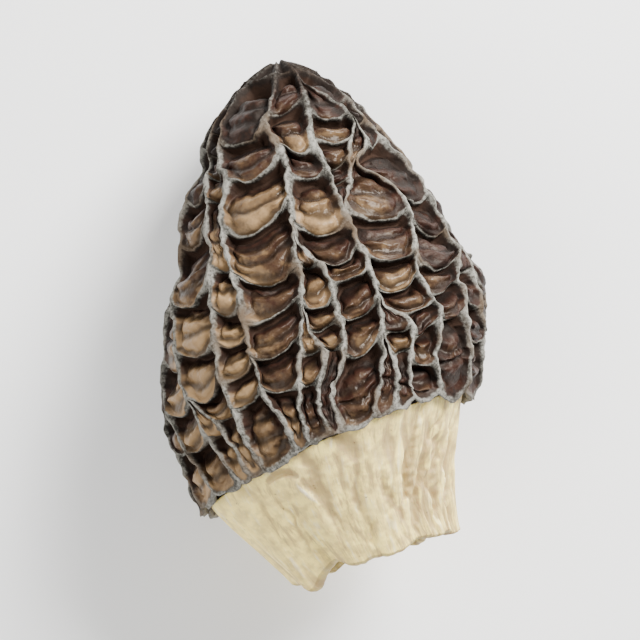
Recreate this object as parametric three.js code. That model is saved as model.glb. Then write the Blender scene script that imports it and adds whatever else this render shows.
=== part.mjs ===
// A dried black morel lying on its side: a hollow cap, whose net of long ridges and cross ribs
// stands round deep pits, on the cut stub of its hollow, wrinkled stem. Millimetres, +Z up, with
// the surface it lies on at Z 0 and the tip towards +Y.
//
// Cap and stem grew together. They are two bodies because they differ in colour and surface.
//
// The net is laid out in a chart of the cap's skin: the angle round the axis, in degrees from the
// right over the top, and the level, counted in equal steps from margin to tip. Neighbouring long
// ridges border a column of pits. Where one ridge has run into another, the column between is closed.

import * as THREE from "three";
import { mergeVertices } from "three/addons/utils/BufferGeometryUtils.js";

// ---- driving dimensions -------------------------------------------------------------------------

const CAP_LENGTH = 41.5; // margin to tip, along the axis
const CAP_RADIUS = 17.3; // half width at the belly
const FLATNESS = 0.84; // thickness over width: it flattened as it dried
const CONE_POWER = 2.2; // how long the belly stays full before it draws in
const TIP_POWER = 0.62; // how blunt the tip is
const MARGIN_PINCH = 0.13; // share by which the margin is narrower than the belly
const MARGIN_REACH = 0.09; // share of the length over which that pinch fades
const MARGIN_SLANT = 3.9; // the margin sits this much higher on the right, lower on the left

const LEVELS = 32; // steps of height in the net
const NET_TOP = 0.955; // share of the length where the pits end on the solid tip
const RIDGE_HALF = 0.34; // half the thickness of a long ridge's crest
const RIB_HALF = 0.26; // half the thickness of a cross rib's crest
const FOOT = 0.85; // distance from a crest's middle to the foot of its wall
const MARGIN_HALF = 0.5; // the same two at the margin, whose crest is broader
const MARGIN_FOOT = 1.5;
const PIT_DEPTH = 2.5; // of a broad pit, below the crests
const PIT_RISE = 0.3; // share by which a pit is shallower at its lower end
const WALL = 0.9; // flesh between a pit's floor and the hollow
const HOLLOW_TOP = 0.86; // share of the length where the hollow closes

const STEM_LENGTH = 11.1; // margin to cut end, along the axis
const STEM_INSET = 1.5; // the stem starts this far inside the cap's margin
const STEM_END = 8.8; // half width at the cut end
const STEM_END_FLATNESS = 0.62; // thickness over width at the cut end
const STEM_WALL = 1.2;
const STEM_SHIFT = 2.3; // the cut end's centre lies this far to the right
const STEM_DROP = 3.2; // and this far below the axis
const CUT_SLANT = 0.17; // rise of the cut per millimetre to the right
const CUT_UNDER = 1.4; // the stem's underside is cut this much shorter than its top
const STEM_FOLDS = 13; // lengthwise wrinkles round the stem

const TILT = 10; // degrees that the tip points down as the cone lies on its side
const SETTLE = 0.9; // the ridges underneath are flattened by this much
const JOINT_GAP = 0.3; // between cap and stem
const CENTRE_X = 0.35; // middle of the whole from side to side
const CENTRE_Y = 13.65; // and from end to end

// Long ridges over the top, from right to left. Each runs between two shares of the length, through
// angles at equal steps of height, and may run into the ridge that foot or head names.
const RIDGES_ON_TOP = [
  { name: "k", angles: [4, 14, 20, 18, 26, 34] },
  { name: "j", to: 0.42, head: "k", angles: [22, 30, 31, 34] },
  { name: "r", to: 0.7, head: "p", angles: [42, 48, 44, 50, 42, 39, 46] },
  { name: "p", from: 0.66, to: 0.92, foot: "q", head: "f", angles: [52, 46, 45, 50, 66] },
  { name: "q", from: 0.55, to: 0.82, foot: "h", head: "p", angles: [69, 64, 61, 57, 48] },
  { name: "h", to: 0.31, head: "f", angles: [56, 59, 57, 65] },
  { name: "g", to: 0.2, head: "f", angles: [66, 64, 67] },
  { name: "f", angles: [74, 69, 66, 69, 70, 76, 76, 70] },
  { name: "e", to: 0.52, head: "d", angles: [86, 88, 82, 81, 85, 92] },
  { name: "d2", to: 0.34, head: "d", angles: [91, 92, 90, 94] },
  { name: "d", angles: [99, 100, 95, 94, 93, 94, 101, 96] },
  { name: "c", angles: [103, 112, 115, 118, 125, 127, 143, 146] },
  { name: "b", angles: [122, 126, 129, 130, 131, 138, 157, 166] },
  { name: "a2", to: 0.2, head: "a", angles: [128, 133, 143] },
  { name: "a", angles: [133, 145, 151, 155, 162, 172, 186] },
  { name: "z", angles: [147, 162, 172, 180, 188, 200, 212] },
];
const RIDGES_BELOW = 13; // the rest, spaced evenly out of sight, with every other one short

const TURN = 360;
const SEED = 4.2;

// A repeatable number from 0 to 1 for the pair (i, j).
function draw(i, j) {
  const x = Math.sin(i * 12.9898 + j * 78.233 + SEED) * 43758.5453;
  return x - Math.floor(x);
}

const between = (low, high, share) => low + (high - low) * share;
const clamp = (x, low, high) => Math.min(high, Math.max(low, x));
const cosd = (angle) => Math.cos(THREE.MathUtils.degToRad(angle));
const sind = (angle) => Math.sin(THREE.MathUtils.degToRad(angle));
const levelOf = (share) => Math.round((share / NET_TOP) * LEVELS);
const shareOf = (level) => (NET_TOP * level) / LEVELS;

// ---- the cap's skin -----------------------------------------------------------------------------

// The lobes that break the outline: a fuller one low on the right, and on the left two bays, each
// with a sudden lower end, and a tuck above the margin. Shares of the radius.
function outlineLobes(angle, t) {
  const bell = (middle, width) => Math.exp(-Math.pow((t - middle) / width, 2));
  const above = (from) => 1 / (1 + Math.exp((from - t) / 0.01));
  const right = 0.1 * bell(0.36, 0.2) * (1 - above(0.415));
  const bays = 0.09 * bell(0.49, 0.09) * above(0.48) + 0.13 * bell(0.73, 0.04) * above(0.722);
  const left = bays + 0.07 * bell(0.07, 0.1);
  return right * Math.pow(Math.max(cosd(angle), 0), 4) - left * Math.pow(Math.max(-cosd(angle), 0), 4);
}

// Radius of the surface through the crests, with the slow lumps that keep it from being round.
function skinRadius(angle, t) {
  const cone = Math.pow(Math.max(1 - Math.pow(Math.max(t, 0), CONE_POWER), 0), TIP_POWER);
  const pinch = 1 - MARGIN_PINCH * Math.exp(-t / MARGIN_REACH);
  const lumps = 0.012 * sind(2 * angle + 60 + 170 * t) + 0.02 * sind(3 * angle - 110 + 340 * t);
  const quick = 0.014 * sind(5 * angle + 20 - 620 * t);
  return CAP_RADIUS * cone * pinch * (1 + lumps + quick + outlineLobes(angle, t));
}

// A point at a radius inside the cap, with the axis along Y and the slanted margin at t 0.
function capPoint(angle, t, across, thick) {
  const y = CAP_LENGTH * t + MARGIN_SLANT * cosd(angle) * Math.pow(1 - clamp(t, 0, 1), 2);
  return new THREE.Vector3(across * cosd(angle), y, thick * sind(angle));
}

function skin(angle, t) {
  const radius = skinRadius(angle, t);
  return capPoint(angle, t, radius, radius * FLATNESS);
}

// The skin's point moved outwards along its normal by height, which is negative in a pit.
function skinPoint({ angle, t }, height) {
  const step = 1e-3;
  const round = skin(angle + 60 * step, t).sub(skin(angle - 60 * step, t));
  const along = skin(angle, t + step).sub(skin(angle, t - step));
  return skin(angle, t).addScaledVector(along.cross(round).normalize(), height);
}

function tilted(p) {
  const y = p.y * cosd(TILT) + p.z * sind(TILT);
  return new THREE.Vector3(p.x, y, p.z * cosd(TILT) - p.y * sind(TILT));
}

function lowestOfSkin() {
  let low = Infinity;
  for (let angle = 180; angle < 360; angle += 3)
    for (let j = 0; j <= 100; j++) low = Math.min(low, tilted(skin(angle, j / 100)).z);
  return low;
}

const lowest = lowestOfSkin();

// Lays a point down: the tip tilts to the surface, and the ridges underneath flatten on it.
function laid(p) {
  const q = tilted(p);
  return new THREE.Vector3(q.x - CENTRE_X, q.y - CENTRE_Y, Math.max(q.z - lowest - SETTLE, 0));
}

// ---- long ridges --------------------------------------------------------------------------------

// The ridges out of sight. Every fourth reaches the tip, those halfway between them end past the
// middle, and the rest end low, each in the next ridge that is longer.
function ridgesBelow() {
  return Array.from({ length: RIDGES_BELOW }, (_, j) => {
    const i = j + 1;
    const long = i % 4 === 0;
    const medium = i % 4 === 2;
    const side = draw(i, 1) < 0.5 ? -1 : 1;
    const target = medium ? i + 2 * side : i + side;
    const ends = { 0: "z", [RIDGES_BELOW + 1]: "k" };
    return {
      name: "u" + i,
      order: i,
      to: long ? undefined : medium ? between(0.55, 0.8, draw(i, 2)) : between(0.2, 0.42, draw(i, 2)),
      head: long ? undefined : ends[target] ?? "u" + target,
    };
  });
}

const ridges = [...RIDGES_ON_TOP, ...ridgesBelow()].map((ridge) => ({
  ...ridge,
  first: ridge.from ? levelOf(ridge.from) : 0,
  last: ridge.to ? levelOf(ridge.to) : LEVELS,
}));
const byName = Object.fromEntries(ridges.map((ridge, index) => [ridge.name, { ...ridge, index }]));

// Smooth curve through values at equal steps, at share s of the way along.
function through(values, s) {
  const x = clamp(s, 0, 1) * (values.length - 1);
  const i = Math.min(Math.floor(x), values.length - 2);
  const f = x - i;
  const [b, c] = [values[i], values[i + 1]];
  const a = values[i - 1] ?? 2 * b - c;
  const d = values[i + 2] ?? 2 * c - b;
  return b + 0.5 * f * (c - a + f * (2 * a - 5 * b + 4 * c - d + f * (3 * (b - c) + d - a)));
}

// Where a ridge would run if it met no other.
function ownAngle(ridge, level) {
  const waveLength = between(5, 9, draw(ridge.last, 5));
  const wave = sind(TURN * (draw(ridge.first + 7, ridge.last + 3) + level / waveLength));
  const climbed = (level - ridge.first) / (ridge.last - ridge.first);
  if (ridge.angles) return through(ridge.angles, climbed) + 0.5 * wave;
  const left = ownAngle(byName.z, level);
  const right = ownAngle(byName.k, level) + TURN;
  const spread = (ridge.order + 0.5 * (draw(ridge.order, 6) - 0.5)) / (RIDGES_BELOW + 1);
  return between(left, right, spread) + 2.2 * wave;
}

const CLOSING = 4; // levels over which a long ridge bends into the one that it joins

// The ridge that a ridge has become at a level, itself unless it has run into another.
function ridgeAt(ridge, level) {
  if (ridge.foot && level <= ridge.first) return ridgeAt(byName[ridge.foot], level);
  if (ridge.head && level >= ridge.last) return ridgeAt(byName[ridge.head], level);
  return ridge;
}

function ridgeAngle(ridge, level) {
  const own = ridgeAt(ridge, level);
  const closing = Math.min(CLOSING, (own.last - own.first) / 3);
  let angle = ownAngle(own, level);
  const bend = (target, steps) => {
    if (steps >= closing) return angle;
    const aim = ridgeAngle(byName[target], level);
    const near = Math.sin((Math.PI / 2) * (steps / closing));
    const full = angle < aim - 180 ? angle + TURN : angle > aim + 180 ? angle - TURN : angle;
    return aim + (full - aim) * near;
  };
  if (own.foot) angle = bend(own.foot, level - own.first);
  if (own.head) angle = bend(own.head, own.last - level);
  return angle;
}

// ---- columns of pits ----------------------------------------------------------------------------

// The column to the left of each ridge, with the stretches of levels over which it is open.
function columnOf(index) {
  const right = ridges[index];
  const left = ridges[(index + 1) % ridges.length];
  const isOpen = (level) => ridgeAt(right, level).name !== ridgeAt(left, level).name;
  const stretches = [];
  for (let level = 0; level <= LEVELS; level++) {
    if (!isOpen(level)) continue;
    const start = level;
    while (level < LEVELS && isOpen(level + 1)) level++;
    stretches.push({ from: Math.max(start - 1, 0), to: Math.min(level + 1, LEVELS) });
  }
  const atLevel = (level) => {
    const a = ridgeAngle(right, level);
    const b = ridgeAngle(left, level);
    return [a, b + TURN * Math.round((a + 10 - b) / TURN)];
  };
  const angles = (level) => {
    const [below, above] = [Math.floor(level), Math.ceil(level)];
    return atLevel(below).map((angle, side) => between(angle, atLevel(above)[side], level - below));
  };
  return { index, right, left, angles, stretches, isOpen };
}

const columns = ridges.map((_, index) => columnOf(index));

function columnWidth(column, level) {
  const [a, b] = column.angles(level);
  const t = shareOf(level);
  return (b - a) * THREE.MathUtils.degToRad(skinRadius((a + b) / 2, t)) * 0.93;
}

// The cross ribs of a stretch, from bottom to top, each with the levels of its right and left
// ends, how far its middle sags towards the margin, and how far that middle lies below the crests.
function stretchRibs(column, { from, to }) {
  const id = column.index;
  const end = (level) => {
    const pointed = !column.isOpen(level);
    const sag = pointed ? 0 : 0.13 * columnWidth(column, level);
    return { right: level, left: level, pointed, sag, drop: 0 };
  };
  const ribs = [end(from)];
  let level = from + (from === 0 ? 4 + Math.floor(4 * draw(id, 5)) : 3);
  for (let n = 0; level <= to - 2; n++) {
    const width = columnWidth(column, level);
    const skew = width > 3 ? Math.floor(3 * draw(id, 20 + n)) - 1 : 0;
    const right = clamp(level + skew, ribs.at(-1).right + 2, to - 2);
    if (width > 1.7 && right >= ribs.at(-1).right + 2 && level >= ribs.at(-1).left + 2) {
      const drop = between(0.1, 0.6, draw(id, 60 + n)) + (width < 3 ? 0.4 : 0);
      ribs.push({ right, left: level, sag: between(0.12, 0.3, draw(id, 40 + n)) * width, drop });
    }
    level += clamp(Math.round((width * between(0.7, 1.05, draw(id, 80 + n))) / 1.24), 2, 4);
  }
  ribs.push(end(to));
  return ribs;
}

// Place on a column's right (side 0) or left (side 1) ridge.
function onRidge(column, side, level) {
  return { angle: column.angles(level)[side], t: shareOf(level), height: 0 };
}

// Place on a rib at share p of the way from its right end to its left one.
function onRib(column, rib, p) {
  const bow = 4 * p * (1 - p);
  const start = onRidge(column, 0, rib.right);
  const end = onRidge(column, 1, rib.left);
  return {
    angle: between(start.angle, end.angle, p),
    t: between(start.t, end.t, p) - (rib.sag * bow) / CAP_LENGTH,
    height: -rib.drop * bow,
  };
}

// Coons patch: the place in a pit at shares p across and q up, from its four borders.
function pitPatch(column, low, high) {
  const levels = [low.right, low.left, high.right, high.left];
  const corners = levels.map((level, i) => onRidge(column, i % 2, level));
  return (p, q) => {
    const below = onRib(column, low, p);
    const above = onRib(column, high, p);
    const right = onRidge(column, 0, between(low.right, high.right, q));
    const left = onRidge(column, 1, between(low.left, high.left, q));
    const mix = (key) => {
      const [a, b, c, d] = corners.map((corner) => corner[key]);
      const edges = between(below[key], above[key], q) + between(right[key], left[key], p);
      return edges - between(between(a, b, p), between(c, d, p), q);
    };
    return { angle: mix("angle"), t: mix("t") };
  };
}

const RIB_STEPS = 2; // pieces in which a rib is drawn

function ribPlaces(column, rib, q) {
  if (rib.pointed) return [{ p: 0.5, q, ...onRidge(column, 0, rib.right) }];
  const shares = Array.from({ length: RIB_STEPS + 1 }, (_, j) => j / RIB_STEPS);
  return shares.map((p) => ({ p, q, ...onRib(column, rib, p) }));
}

function ridgePlaces(column, side, from, to) {
  const places = [];
  for (let level = from + 1; level < to; level++)
    places.push({ p: side, q: (level - from) / (to - from), ...onRidge(column, side, level) });
  return places;
}

// The border of a pit, once round.
function pitBorder(column, low, high) {
  return [
    ...ridgePlaces(column, 0, low.right, high.right),
    ...ribPlaces(column, high, 1),
    ...ridgePlaces(column, 1, low.left, high.left).reverse(),
    ...ribPlaces(column, low, 0).reverse(),
  ];
}

// ---- surfaces -----------------------------------------------------------------------------------

// Triangles between two rings of as many points.
function band(faces, ring, next) {
  ring.forEach((point, j) => {
    const k = (j + 1) % ring.length;
    faces.push([point, next[k], ring[k]], [point, next[j], next[k]]);
  });
}

function fan(faces, ring, centre) {
  ring.forEach((point, j) => faces.push([ring[(j + 1) % ring.length], point, centre]));
}

// One pit: the crests round it, its walls and its floor, which swells in the middle.
function addPit(faces, column, low, high) {
  const patch = pitPatch(column, low, high);
  const spanAt = (q) => {
    const level = between(low.right + low.left, high.right + high.left, q) / 2;
    return Math.max(columnWidth(column, level), 0.05);
  };
  const tall = (shareOf(high.right + high.left - low.right - low.left) * CAP_LENGTH) / 2;
  const depth = clamp(0.6 + 0.62 * Math.min(spanAt(0.5), tall), 0.9, PIT_DEPTH);
  const border = pitBorder(column, low, high);
  const [rimHalf, rimFoot] = low.right === 0 ? [MARGIN_HALF, MARGIN_FOOT] : [RIB_HALF, FOOT];
  const ring = (side, below, above, corner, heightOf) =>
    border.map((place) => {
      const q = between(Math.min(below / tall, 0.3), 1 - Math.min(above / tall, 0.3), place.q);
      const pIn = Math.min(side / spanAt(q), 0.3);
      const p = between(pIn, 1 - pIn, place.p);
      const round = (x, other) => 0.5 + (x - 0.5) * (1 - corner * Math.pow(Math.abs(2 * other - 1), 3));
      return laid(skinPoint(patch(round(p, place.q), round(q, place.p)), heightOf(place, q)));
    });
  const crest = border.map((place) => laid(skinPoint(place, place.height)));
  const edge = ring(RIDGE_HALF, rimHalf, RIB_HALF, 0.08, (place) => place.height - 0.08);
  const floorAt = (place, q) => -depth * clamp(spanAt(q) / 1.8, 0.35, 1) * between(1 - PIT_RISE, 1, q);
  const foot = ring(FOOT, rimFoot, FOOT, 0.22, floorAt);
  band(faces, edge, crest);
  band(faces, foot, edge);
  fan(faces, [...foot].reverse(), laid(skinPoint(patch(0.5, 0.5), -0.5 * depth)));
}

// The places where the net ends, at the margin or at the tip, once round.
function netEnd(level) {
  return columns.flatMap((column) => {
    if (!column.isOpen(level)) return [];
    const rib = stretchRibs(column, column.stretches.find(({ from, to }) => from === level || to === level));
    return ribPlaces(column, level === 0 ? rib[0] : rib.at(-1), 0).slice(0, -1);
  });
}

// The solid tip over the ends of the top pits.
function addTip(faces) {
  const rim = netEnd(LEVELS);
  const ring = rim.map((place) => laid(skinPoint(place, place.height)));
  const shoulder = rim.map(({ angle, t }) => laid(skinPoint({ angle, t: between(t, 1, 0.5) }, -0.2)));
  band(faces, ring, shoulder);
  fan(faces, shoulder, laid(new THREE.Vector3(0, CAP_LENGTH - 0.3, 0)));
}

function hollowPoint(angle, t) {
  const closing = Math.sqrt(Math.max(1 - Math.pow(Math.max(t, 0) / HOLLOW_TOP, 5), 0));
  const radius = skinRadius(angle, t);
  const flesh = PIT_DEPTH + WALL;
  return laid(capPoint(angle, t, (radius - flesh) * closing, (radius * FLATNESS - flesh) * closing));
}

// The underside of the margin, and the lining of the hollow above it.
function addHollow(faces) {
  const rows = 8;
  const margin = netEnd(0);
  const crest = margin.map((place) => laid(skinPoint(place, 0)));
  const skirt = margin.map((place) => laid(skinPoint(place, -0.7)));
  const under = margin.map(({ angle }) => laid(skinPoint({ angle, t: 0.002 }, -1.35)));
  band(faces, skirt, crest);
  band(faces, under, skirt);
  let ring = under;
  for (let j = 0; j < rows; j++) {
    const t = between(0.004, HOLLOW_TOP, Math.sin((Math.PI / 2) * (j / rows)));
    const next = margin.map(({ angle }) => hollowPoint(angle, t));
    band(faces, next, ring);
    ring = next;
  }
  fan(faces, [...ring].reverse(), hollowPoint(0, HOLLOW_TOP));
}

// Joins loose triangles, given by their corners, into one closed mesh.
function solid(faces) {
  const loose = new THREE.BufferGeometry();
  loose.setFromPoints(faces.flat());
  const geometry = mergeVertices(loose, 1e-4);
  const corners = Array.from(geometry.index.array);
  const kept = [];
  for (let i = 0; i < corners.length; i += 3) {
    const [a, b, c] = corners.slice(i, i + 3);
    if (a !== b && b !== c && a !== c) kept.push(a, b, c);
  }
  geometry.setIndex(kept);
  geometry.computeVertexNormals();
  return geometry;
}

function capGeometry() {
  const faces = [];
  for (const column of columns) {
    for (const stretch of column.stretches) {
      const ribs = stretchRibs(column, stretch);
      for (let n = 0; n + 1 < ribs.length; n++) addPit(faces, column, ribs[n], ribs[n + 1]);
    }
  }
  addTip(faces);
  addHollow(faces);
  return solid(faces);
}

// ---- the stem -----------------------------------------------------------------------------------

// Half width and half thickness of the stem's outside at share s of the way to the cut end.
function stemHalf(angle, s) {
  const top = skinRadius(angle, 0) - STEM_INSET;
  const flare = Math.pow(1 - s, 1.25);
  const across = between(STEM_END, top, flare);
  const thick = between(STEM_END * STEM_END_FLATNESS, top * FLATNESS, flare);
  return { across, thick };
}

// Lengthwise folds, sharper on the right, that fade in under the cap.
function stemFold(angle, s) {
  const drift = 14 * sind(2 * angle + 80 * s);
  const wave = Math.abs(sind((STEM_FOLDS * (angle + drift)) / 2));
  const strength = (0.35 + 0.3 * cosd(angle)) * Math.min(1, 4 * s);
  return strength * (wave - 0.5) + 0.25 * sind(3 * angle + 200 * s) * s;
}

// How far along the axis the stem was cut, with a torn flap on the left and a notch beside it.
function cutAt(angle) {
  const bell = (middle, width) => Math.exp(-Math.pow((angle - middle) / width, 2));
  const torn = 0.25 * sind(5 * angle + 20) + 0.2 * sind(11 * angle);
  const slant = CUT_SLANT * STEM_END * cosd(angle) + (CUT_UNDER * (1 - sind(angle))) / 2;
  return STEM_LENGTH - slant + torn + 1.1 * bell(146, 11) - 0.6 * bell(116, 7);
}

function stemPoint(angle, s, inset) {
  const { across, thick } = stemHalf(angle, s);
  const push = stemFold(angle, s) - inset;
  const top = MARGIN_SLANT * cosd(angle) - JOINT_GAP;
  const x = (across + push) * cosd(angle) + STEM_SHIFT * s * s;
  const z = (thick + push) * sind(angle) - STEM_DROP * s * s;
  return laid(new THREE.Vector3(x, between(top, -cutAt(angle), s), z));
}

function stemGeometry() {
  const sides = 52;
  const outerRows = 11;
  const innerRows = 5;
  const ring = (s, inset) => Array.from({ length: sides }, (_, j) => stemPoint((TURN * j) / sides, s, inset));
  const rings = [];
  for (let j = 0; j <= outerRows; j++) rings.push(ring(j / outerRows, 0));
  for (let j = innerRows; j >= 0; j--) rings.push(ring(j / innerRows, STEM_WALL));
  const faces = [];
  rings.forEach((points, j) => band(faces, rings[(j + 1) % rings.length], points));
  return solid(faces);
}

// ---- the morel ----------------------------------------------------------------------------------

function body(name, geometry, color, roughness) {
  const mesh = new THREE.Mesh(geometry, new THREE.MeshStandardMaterial({ color, roughness, metalness: 0 }));
  mesh.name = name;
  return mesh;
}

const morel = new THREE.Group();
morel.add(body("cap", capGeometry(), 0x4a3a30, 0.7));
morel.add(body("stem", stemGeometry(), 0xd8cdaa, 0.75));

export default morel;
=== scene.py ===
"""A dried black morel on its side: a dark netted cap on the cut stub of a cream stem.

The cap is worked out in a chart of its skin: the angle round the axis, in degrees from the right
over the top, and the level, counted in equal steps from margin to tip. Long ridges and the cross
ribs between them border the pits, and each pit is a surface over (ring, place round the ring).
Lengths are millimetres until a mesh is made.
"""

import math
from functools import cache
from types import SimpleNamespace

import bpy
import numpy as np
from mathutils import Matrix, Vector


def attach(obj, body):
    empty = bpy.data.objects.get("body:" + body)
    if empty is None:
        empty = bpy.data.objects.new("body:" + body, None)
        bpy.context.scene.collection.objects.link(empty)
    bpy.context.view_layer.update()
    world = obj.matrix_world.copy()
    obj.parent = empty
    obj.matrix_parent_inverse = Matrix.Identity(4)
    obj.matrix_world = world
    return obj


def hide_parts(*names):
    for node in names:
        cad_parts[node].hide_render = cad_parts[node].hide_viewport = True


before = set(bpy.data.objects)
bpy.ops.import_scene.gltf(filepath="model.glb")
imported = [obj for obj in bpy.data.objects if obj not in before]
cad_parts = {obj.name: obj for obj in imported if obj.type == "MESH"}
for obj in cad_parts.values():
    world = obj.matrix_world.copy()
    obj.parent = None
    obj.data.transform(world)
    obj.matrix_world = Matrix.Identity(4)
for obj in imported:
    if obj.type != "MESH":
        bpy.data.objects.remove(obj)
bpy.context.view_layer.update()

bl_info = {
    "name": "Dried black morel",
    "version": (1, 0, 0),
    "blender": (4, 5, 0),
    "location": "View3D > Sidebar > Morel",
    "description": "Makes a dried black morel lying on its side, with its floor, lights and camera",
    "category": "Add Mesh",
}

MM = 0.001
TURN = 360.0

# ---- sizes that the solid and this surface share ----

CAP_LENGTH = 41.5  # margin to tip, along the axis
CAP_RADIUS = 17.3  # half width at the belly
FLATNESS = 0.84  # thickness over width
CONE_POWER = 2.2  # how long the belly stays full before it draws in
TIP_POWER = 0.62  # how blunt the tip is
MARGIN_PINCH = 0.13  # share by which the margin is narrower than the belly
MARGIN_REACH = 0.09  # share of the length over which that pinch fades
MARGIN_SLANT = 3.9  # the margin is this much higher on the right, lower on the left

LEVELS = 32  # steps of height in the net
LEVEL_STEP = 1.24  # their height
NET_TOP = 0.955  # share of the length where the pits end on the solid tip
PIT_DEPTH = 2.5  # of a broad pit
WALL = 0.9  # flesh between a pit's floor and the hollow
HOLLOW_TOP = 0.86  # share of the length where the hollow closes

STEM_LENGTH = 11.1  # margin to cut, along the axis
STEM_INSET = 1.5  # how far inside the skin of the cap the stem begins
STEM_END = 8.8  # half width at the cut
STEM_END_FLATNESS = 0.62  # thickness over width at the cut
STEM_WALL = 1.2
STEM_SHIFT = 2.3  # bend of the cut end to the right
STEM_DROP = 3.2  # bend of the cut end downwards
CUT_SLANT = 0.17  # slope of the cut across the stem
CUT_UNDER = 1.4  # how much shorter the stem was cut underneath
STEM_FOLDS = 13
FOLD_HEIGHT, FOLD_MORE = 0.35, 0.3  # height of the folds, and how much more on the right

TILT = 10.0  # degrees that the tip points down
SETTLE = 0.9  # the ridges underneath are flattened by this much
CENTRE_X = 0.35
CENTRE_Y = 13.65
SEED = 4.2

# Long ridges over the top, from right to left. Each runs between two shares of the length, through
# angles at equal steps of height, and may run into the ridge that foot or head names.
RIDGES_ON_TOP = [
    dict(name="k", angles=[4, 14, 20, 18, 26, 34]),
    dict(name="j", to=0.42, head="k", angles=[22, 30, 31, 34]),
    dict(name="r", to=0.7, head="p", angles=[42, 48, 44, 50, 42, 39, 46]),
    dict(name="p", start=0.66, to=0.92, foot="q", head="f", angles=[52, 46, 45, 50, 66]),
    dict(name="q", start=0.55, to=0.82, foot="h", head="p", angles=[69, 64, 61, 57, 48]),
    dict(name="h", to=0.31, head="f", angles=[56, 59, 57, 65]),
    dict(name="g", to=0.2, head="f", angles=[66, 64, 67]),
    dict(name="f", angles=[74, 69, 66, 69, 70, 76, 76, 70]),
    dict(name="e", to=0.52, head="d", angles=[86, 88, 82, 81, 85, 92]),
    dict(name="d2", to=0.34, head="d", angles=[91, 92, 90, 94]),
    dict(name="d", angles=[99, 100, 95, 94, 93, 94, 101, 96]),
    dict(name="c", angles=[103, 112, 115, 118, 125, 127, 143, 146]),
    dict(name="b", angles=[122, 126, 129, 130, 131, 138, 157, 166]),
    dict(name="a2", to=0.2, head="a", angles=[128, 133, 143]),
    dict(name="a", angles=[133, 145, 151, 155, 162, 172, 186]),
    dict(name="z", angles=[147, 162, 172, 180, 188, 200, 212]),
]
RIDGES_BELOW = 13
CLOSING = 4  # levels over which a ridge runs into another
PIT_SQUEEZE = 0.93  # breadth of a pit over the arc between its two ridges
RIB_GAP, WIDEST_GAP = 2, 4  # least and most number of levels between two cross ribs
RIBLESS = 1.7  # a column of pits narrower than this has no cross ribs
NARROW = 3.0  # in a column narrower than this they don't slant, and hang lower
# Least and most that a cross rib of the solid drops in its middle, and, as shares of the column's
# width, that it sags and is away from the next.
DROPS, SAGS, SPACINGS = (0.1, 0.6), (0.12, 0.3), (0.7, 1.05)
END_SAG = 0.13  # sag of a column's first and last rib, likewise

# Bells along the cap's length that change its outline: height as a share of the radius, middle and
# width. The lobe on the right ends, and the bays on the left begin, at a share of the length.
RIGHT_LOBE, RIGHT_LOBE_END = (0.1, 0.36, 0.2), 0.415
LEFT_BAYS = [((0.09, 0.49, 0.09), 0.48), ((0.13, 0.73, 0.04), 0.722)]
LEFT_TUCK = (0.07, 0.07, 0.1)
LOBE_EDGE = 0.01
# Lumps of the skin: height as a share of the radius, turns round the axis, and the phase at the
# margin and its change to the tip, in degrees.
SKIN_LUMPS = [(0.012, 2, 60, 170), (0.02, 3, -110, 340), (0.014, 5, 20, -620)]

# ---- fineness of this surface ----

STEPS = 4  # places to a level along a ridge
RIB_PITCH = 0.34  # distance between places along a rib
RIB_DIP = 1.9  # a rib drops this many times as deep as on the solid
HOLLOW_ROWS = 9
STEM_SIDES = 420
STEM_ROWS, LINING_ROWS = 84, 26  # down the stem's outside and up its inside
CUT_PLACES = np.array([0.25, 0.5, 0.75])  # shares of the way across the cut edge
WELD = 1e-3  # points that agree to this are one


def draw(i, j):
    """A repeatable number from 0 to 1: the fraction of a large multiple of a sine."""
    x = math.sin(i * 12.9898 + j * 78.233 + SEED) * 43758.5453
    return x - math.floor(x)


def between(low, high, share):
    """The number at a share of the way from low to high."""
    return low + (high - low) * share


def ramp(x, start, length):
    """A straight rise from 0 at start to 1 at start + length."""
    return np.clip((x - start) / length, 0, 1)


def step(x, edge, softness):
    """A logistic step from 0 to 1, or from 1 to 0 where softness is negative."""
    return 1 / (1 + np.exp((edge - x) / softness))


def bell(x, middle, width):
    """The exponential of minus the square of the distance from the middle over the width."""
    return np.exp(-(((x - middle) / width) ** 2))


def unit(vectors):
    """Vectors over their lengths."""
    return vectors / np.linalg.norm(vectors, axis=-1, keepdims=True)


def cosd(angle):
    """The cosine of degrees."""
    return np.cos(np.radians(angle))


def sind(angle):
    """The sine of degrees."""
    return np.sin(np.radians(angle))


def level_of(share):
    """The level nearest to a share of the cap's length."""
    return math.floor(share / NET_TOP * LEVELS + 0.5)


def share_of(level):
    """The share of the cap's length at a level."""
    return NET_TOP * level / LEVELS


def waves_round(angle, waves):
    """The sum of sines round the axis, each given by its height, turns and phase in degrees."""
    return sum(height * sind(turns * angle + phase) for height, turns, phase in waves)


class Waves:
    """Smooth noise in three dimensions: the sum of plane waves in seeded directions, whose lengths
    are 0.7 to 1.5 times the given one, pressed into -1 to 1 by a hyperbolic tangent."""

    COUNT = 9
    GAIN = 0.8 / math.sqrt(COUNT / 2)

    def __init__(self, seed, length):
        rng = np.random.default_rng(seed)
        direction = unit(rng.normal(size=(self.COUNT, 3)))
        self.vectors = direction * (2 * np.pi / (length * rng.uniform(0.7, 1.5, (self.COUNT, 1))))
        self.phases = rng.uniform(0, 2 * np.pi, self.COUNT)

    def __call__(self, points):
        return np.tanh(np.sin(points @ self.vectors.T + self.phases).sum(axis=-1) * self.GAIN)


# ---- the cap's skin ----


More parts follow.
